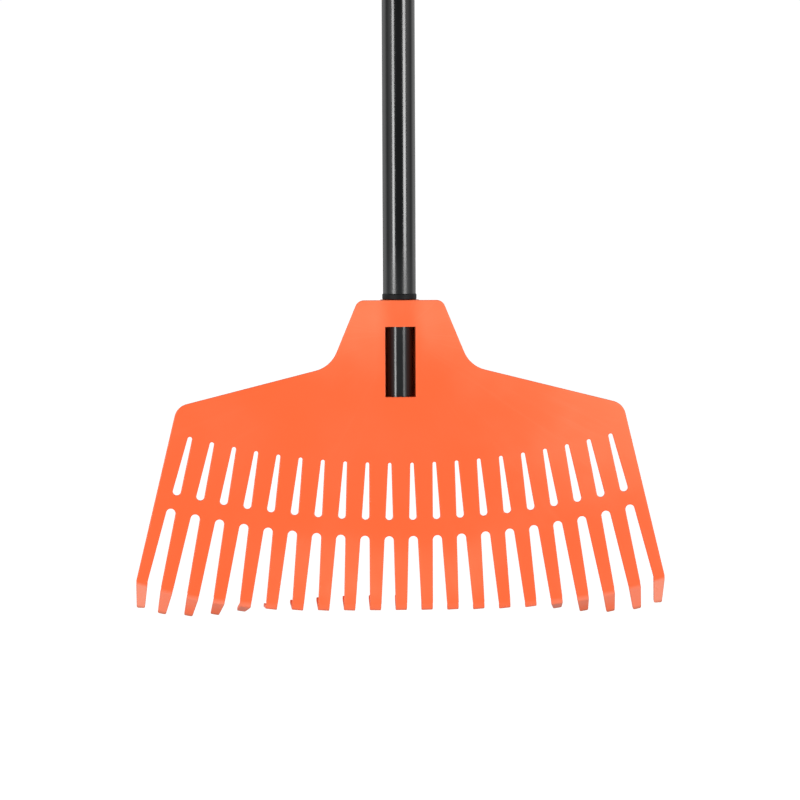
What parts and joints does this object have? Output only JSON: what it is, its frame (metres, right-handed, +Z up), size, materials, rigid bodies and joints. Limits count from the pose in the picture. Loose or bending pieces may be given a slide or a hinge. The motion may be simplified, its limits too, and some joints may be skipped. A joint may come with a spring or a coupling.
{
  "type": "leaf rake",
  "caption": "Lightweight leaf rake: a one-piece plastic fan head with slots, open gaps and hooked tines on a round tubular handle with a hanging eye.",
  "frame": {"origin": "on the handle's axis, at the lower end of the handle tube, where it sits on the collar bush's ring", "axes": "+Z up the handle towards the hanging eye, +X across the head, and the front of the head faces -Y, so the hooked tine ends point to +Y"},
  "size_m": [0.4016, 0.0294, 1.4731],
  "materials": {
    "head_plastic": "satin moulded orange plastic",
    "handle_paint": "gloss black",
    "spigot_paint": "gloss black",
    "bush_plastic": "satin black",
    "pin_steel": "spring steel",
    "screw_metal": "zinc plated",
    "plug_plastic": "black",
    "cap_plastic": "satin black"
  },
  "bodies": {
    "root": {"rake_head": "head_plastic", "handle_tube": "handle_paint", "spigot_tube": "spigot_paint", "collar_bush": "bush_plastic", "cross_pin": "pin_steel", "head_screw": "screw_metal", "spigot_plug": "plug_plastic", "end_cap": "cap_plastic"}
  },
  "joints": []
}
